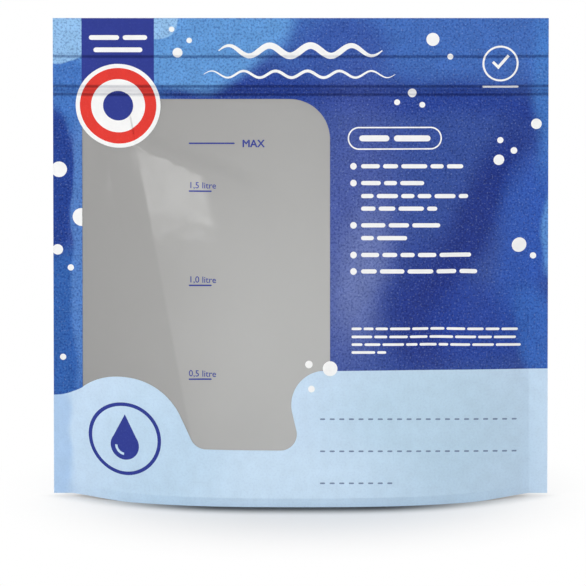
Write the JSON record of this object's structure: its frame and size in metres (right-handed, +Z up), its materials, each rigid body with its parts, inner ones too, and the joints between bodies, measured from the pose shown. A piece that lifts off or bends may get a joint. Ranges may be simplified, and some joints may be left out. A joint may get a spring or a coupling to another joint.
{
  "type": "zipper refill bag",
  "caption": "Stand-up refill bag of printed film with a clear window, sealed sides, a folded bottom gusset and a press-to-close zip below its open top edge.",
  "frame": {"origin": "on the floor, under the middle of the bag", "axes": "+Z up, the front with the window faces -Y, +X to the right as seen from the front"},
  "size_m": [0.25, 0.068, 0.245],
  "materials": {
    "printed_film": "satin printed polyethylene laminate",
    "clear_film": "clear glossy polyethylene film",
    "gusset_film": "satin pale printed film",
    "zip_plastic": "extruded translucent polyethylene"
  },
  "bodies": {
    "root": {"front_panel": "printed_film", "window_film": "clear_film", "back_panel": "printed_film", "bottom_gusset": "gusset_film", "zip_bead_tape": "zip_plastic", "zip_groove_tape": "zip_plastic"}
  },
  "joints": []
}
